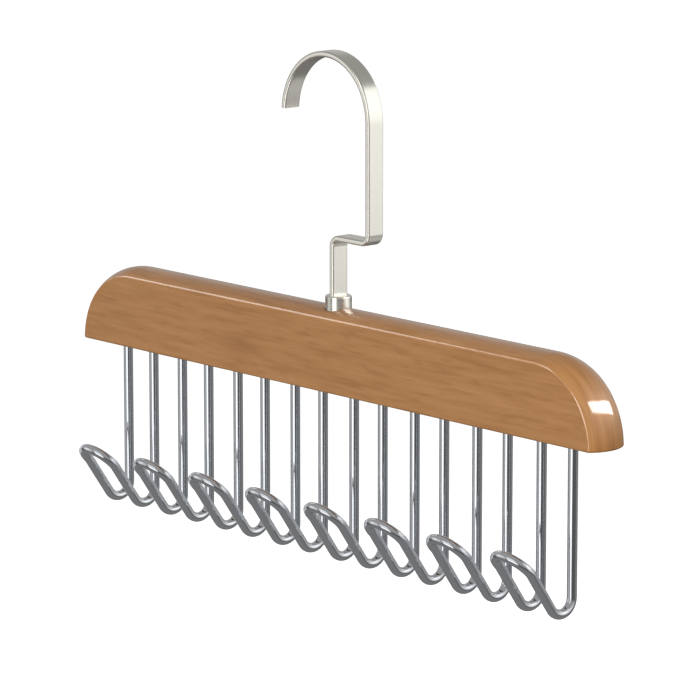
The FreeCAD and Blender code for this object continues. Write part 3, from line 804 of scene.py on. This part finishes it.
# %% Panels of light in the sky
studio = bpy.data.worlds.new("studio")
studio.use_nodes = True
bpy.context.scene.world = studio
bpy.context.scene.view_settings.view_transform = "Standard"
sky = studio.node_tree
sky.nodes.clear()
ray = add_node(sky, "ShaderNodeSeparateXYZ",
               {"Vector": add_node(sky, "ShaderNodeTexCoord").outputs["Generated"]}).outputs
# Keeps a division safe for rays that go straight up or down
LEAST_FLAT = 0.001


def soft_step(value, start, stop):
    """0 before start, 1 after stop, smooth between them."""
    made = add_node(sky, "ShaderNodeMapRange", {"Value": value, "From Min": start, "From Max": stop},
                    interpolation_type="SMOOTHSTEP")
    return made.outputs["Result"]


def light_panel(azimuth, half_width, side_soft, low, high, rim_soft, strength):
    """A soft rectangle of light in the sky; azimuth from +X towards +Y, low and high as elevations."""
    flat = calc(sky, "SQRT", calc(sky, "ADD", calc(sky, "MULTIPLY", ray["X"], ray["X"]),
                                  calc(sky, "MULTIPLY", ray["Y"], ray["Y"])))
    facing = calc(sky, "ADD", calc(sky, "MULTIPLY", ray["X"], math.cos(math.radians(azimuth))),
                  calc(sky, "MULTIPLY", ray["Y"], math.sin(math.radians(azimuth))))
    away = calc(sky, "ARCCOSINE", calc(sky, "DIVIDE", facing, calc(sky, "MAXIMUM", flat, LEAST_FLAT)))
    height = calc(sky, "ARCTAN2", ray["Z"], flat)
    inside = soft_step(away, math.radians(half_width + side_soft), math.radians(half_width - side_soft))
    above = soft_step(height, math.radians(low - rim_soft), math.radians(low + rim_soft))
    below = soft_step(height, math.radians(high + rim_soft), math.radians(high - rim_soft))
    window = calc(sky, "MULTIPLY", inside, calc(sky, "MULTIPLY", above, below))
    return calc(sky, "MULTIPLY", window, strength)


print("sky ready for its panels")

# %% Studio world
ROOM_BASE = 0.10
ROOM_ABOVE = 0.24
ROOM_BELOW = 0.10
# Elevations between which the grey brightens, upwards and downwards from the horizon
RISE_ABOVE = (math.radians(-12), math.radians(12))
RISE_BELOW = (math.radians(-16), math.radians(-40))
PANELS = {
    "left": dict(azimuth=232, half_width=20, side_soft=8, low=-18, high=22, rim_soft=10, strength=0.40),
    "back": dict(azimuth=139, half_width=45, side_soft=20, low=-5, high=28, rim_soft=8, strength=0.165),
}
level = calc(sky, "ARCSINE", ray["Z"])
above = calc(sky, "MULTIPLY", soft_step(level, *RISE_ABOVE), ROOM_ABOVE)
below = calc(sky, "MULTIPLY", soft_step(level, *RISE_BELOW), ROOM_BELOW)
room = calc(sky, "ADD", calc(sky, "ADD", above, below), ROOM_BASE)
for panel in PANELS.values():
    room = calc(sky, "ADD", room, light_panel(**panel))
studio_light = add_node(sky, "ShaderNodeBackground", {"Color": WHITE, "Strength": room})
plain_white = add_node(sky, "ShaderNodeBackground", {"Color": WHITE, "Strength": 1.0})
seen = add_node(sky, "ShaderNodeLightPath")
sky_mix = add_node(sky, "ShaderNodeMixShader",
                   {"Fac": seen.outputs["Is Camera Ray"], 1: studio_light.outputs["Background"],
                    2: plain_white.outputs["Background"]})
add_node(sky, "ShaderNodeOutputWorld", {"Surface": sky_mix.outputs["Shader"]})
print("studio world has", len(sky.nodes), "nodes")

# %% [markdown]
# ## Fill lights
# Dull wood needs light from all sides, but each lamp would leave a glare on the metals and the varnish. So
# four wide lights stand round the bar, and mirrors don't see them. One strong lamp would be simpler, but it
# would leave the back dark.

# %% Fill lights
# Name, place, width and power of each light
FILL_LIGHTS = [
    ("fill_front", (0.4, -1.9, 0.3), 1.4, 30.5),
    ("fill_right", (1.4, -0.1, 0.4), 1.2, 14.5),
    ("fill_back", (-0.2, 1.6, 0.1), 1.4, 14),
    ("fill_left", (-1.6, 0.0, 0.1), 1.2, 9),
]


def fill_light(label, place, width, power):
    """A wide light aimed at the bar that mirrors don't see."""
    lamp = bpy.data.lights.new(label, "AREA")
    lamp.size = width
    lamp.energy = power
    holder = bpy.data.objects.new(label, lamp)
    holder.location = place
    holder.rotation_euler = (aim - Vector(place)).to_track_quat("-Z", "Y").to_euler()
    holder.visible_glossy = False
    bpy.context.scene.collection.objects.link(holder)


for row in FILL_LIGHTS:
    fill_light(*row)

# %% [markdown]
# ## Light cards
# Photographers place white cards where a polished surface should show a highlight. Here one skewed card
# gives the sharp patch on the rounded end of the bar. The others are upright rectangles, for the thin
# bright lines along the bar's edges, for the wires, for the flat hook and for the collar. A card is a
# glowing, see-through sheet, given by the azimuths and elevations of its corners as seen from the spot that
# it lights. It adds nothing to dull surfaces, and light linking lets it reach only its own pieces, so that
# each highlight can be set without glare elsewhere. Lamps could do the same, but a lamp is a rectangle or
# an ellipse, and a card takes any outline.

# %% Card helpers
# Distances of the cards from their spots, in metres
NEAR = 1.0
FAR = 2.5


def sky_way(azimuth, elevation):
    """The direction at an azimuth from +X towards +Y and an elevation, both in degrees."""
    around, rise = math.radians(azimuth), math.radians(elevation)
    return Vector((math.cos(around) * math.cos(rise), math.sin(around) * math.cos(rise), math.sin(rise)))


def glow_paint(label, radiance):
    """A glow that lets everything behind it show through."""
    paint, tree, shader = new_material(label)
    shader.inputs["Base Color"].default_value = (0, 0, 0, 1)
    shader.inputs["Specular IOR Level"].default_value = 0
    shader.inputs["Emission Color"].default_value = WHITE
    shader.inputs["Emission Strength"].default_value = radiance
    clear = add_node(tree, "ShaderNodeBsdfTransparent")
    glow = add_node(tree, "ShaderNodeAddShader", {0: shader.outputs["BSDF"], 1: clear.outputs["BSDF"]})
    tree.links.new(glow.outputs["Shader"], tree.nodes["Material Output"].inputs["Surface"])
    return paint


def light_card(label, spot, corners, radiance, away, pieces):
    """A card with corners at (azimuth, elevation) from a spot; it shows only in the gloss of its pieces."""
    mesh = bpy.data.meshes.new(label)
    mesh.from_pydata([spot + away * sky_way(*corner) for corner in corners], [], [range(len(corners))])
    mesh.materials.append(glow_paint(label, radiance))
    card = bpy.data.objects.new(label, mesh)
    card.visible_camera = False
    card.visible_diffuse = False
    card.visible_shadow = False
    bpy.context.scene.collection.objects.link(card)
    receivers = bpy.data.collections.new(label + "_receivers")
    for piece in pieces:
        receivers.objects.link(piece)
    card.light_linking.receiver_collection = receivers
    print(label, "lights", [piece.name for piece in pieces])


def upright_card(label, spot, azimuths, elevations, radiance, away, pieces):
    """A card between two azimuths and two elevations."""
    (start, stop), (low, high) = azimuths, elevations
    corners = [(start, low), (stop, low), (stop, high), (start, high)]
    light_card(label, spot, corners, radiance, away, pieces)


print("card helpers ready")

# %% Cards for the bar
bar_end = Vector((bar_high.x, 0, UNDERSIDE + BAR_HEIGHT / 2))
END_RADIANCE = 20
END_PATCH = [(-6, 49.5), (40, 41), (79, 20.5), (72, 13), (33, 28.5), (-3.5, 35.5)]
# Name, spot, azimuths, elevations and radiance of each card
BAR_CARDS = [
    ("top_edge_card", aim, (192, 220), (18, 42), 5),
    ("end_edge_card", bar_end, (-80, -62), (-40, 20), 5),
    ("corner_card", bar_end, (222, 238), (20, 42), 6),
    ("end_corner_card", bar_end, (-96, -70), (6, 33), 9),
]
light_card("end_card", bar_end, END_PATCH, END_RADIANCE, NEAR, [bar])
for card in BAR_CARDS:
    upright_card(*card, NEAR, [bar])

# %% Cards for the metals
collar = nodes["collar"]
arch_side = Vector((ARCH, 0, 0))
collar_foot = Vector((SWIVEL_X, 0, bar_high.z))
wire_bends = Vector((SWIVEL_X, 0, cad_low.z))
# Pieces, and the cards that show in their gloss
METAL_CARDS = [
    ([wires], [
        ("front_card", aim, (-97, -55), (-18, -2), 1.2),
        ("front_high_card", aim, (-97, -55), (-2, 33), 0.5),
        ("left_card", aim, (205, 235), (-5, 22), 0.2),
        ("far_left_card", aim, (150, 190), (-30, 6), 0.42),
        ("right_card", aim, (30, 105), (-20, 26), 0.12),
        ("loop_card", aim, (25, 92), (13, 27), 0.3),
        ("bend_card", wire_bends, (8, 55), (-8, 40), 0.5),
    ]),
    ([strip], [
        ("hook_line_card", arch_side, (-86, -60), (-50, 50), 2.0),
        ("hook_edge_card", arch_side, (216, 240), (-35, 15), 0.38),
        ("hook_side_card", arch_side, (-60, 8), (-45, 30), 0.18),
    ]),
    ([strip, collar], [
        ("metal_card", arch_side, (8, 80), (-10, 33), 0.98),
        ("low_metal_card", arch_side, (20, 90), (-45, -10), 0.29),
    ]),
    ([collar], [
        ("collar_edge_card", aim, (209, 238), (-35, 15), 0.18),
        ("collar_side_card", aim, (-59, 0), (-45, 20), 0.15),
        ("collar_front_card", aim, (-97, -59), (-50, 40), 1.4),
        ("collar_low_card", collar_foot, (0, 52), (-25, 0), 0.36),
        ("collar_high_card", collar_foot, (0, 60), (18, 40), 3.2),
    ]),
]
for pieces, cards in METAL_CARDS:
    for card in cards:
        upright_card(*card, FAR, pieces)

bpy.context.view_layer.update()
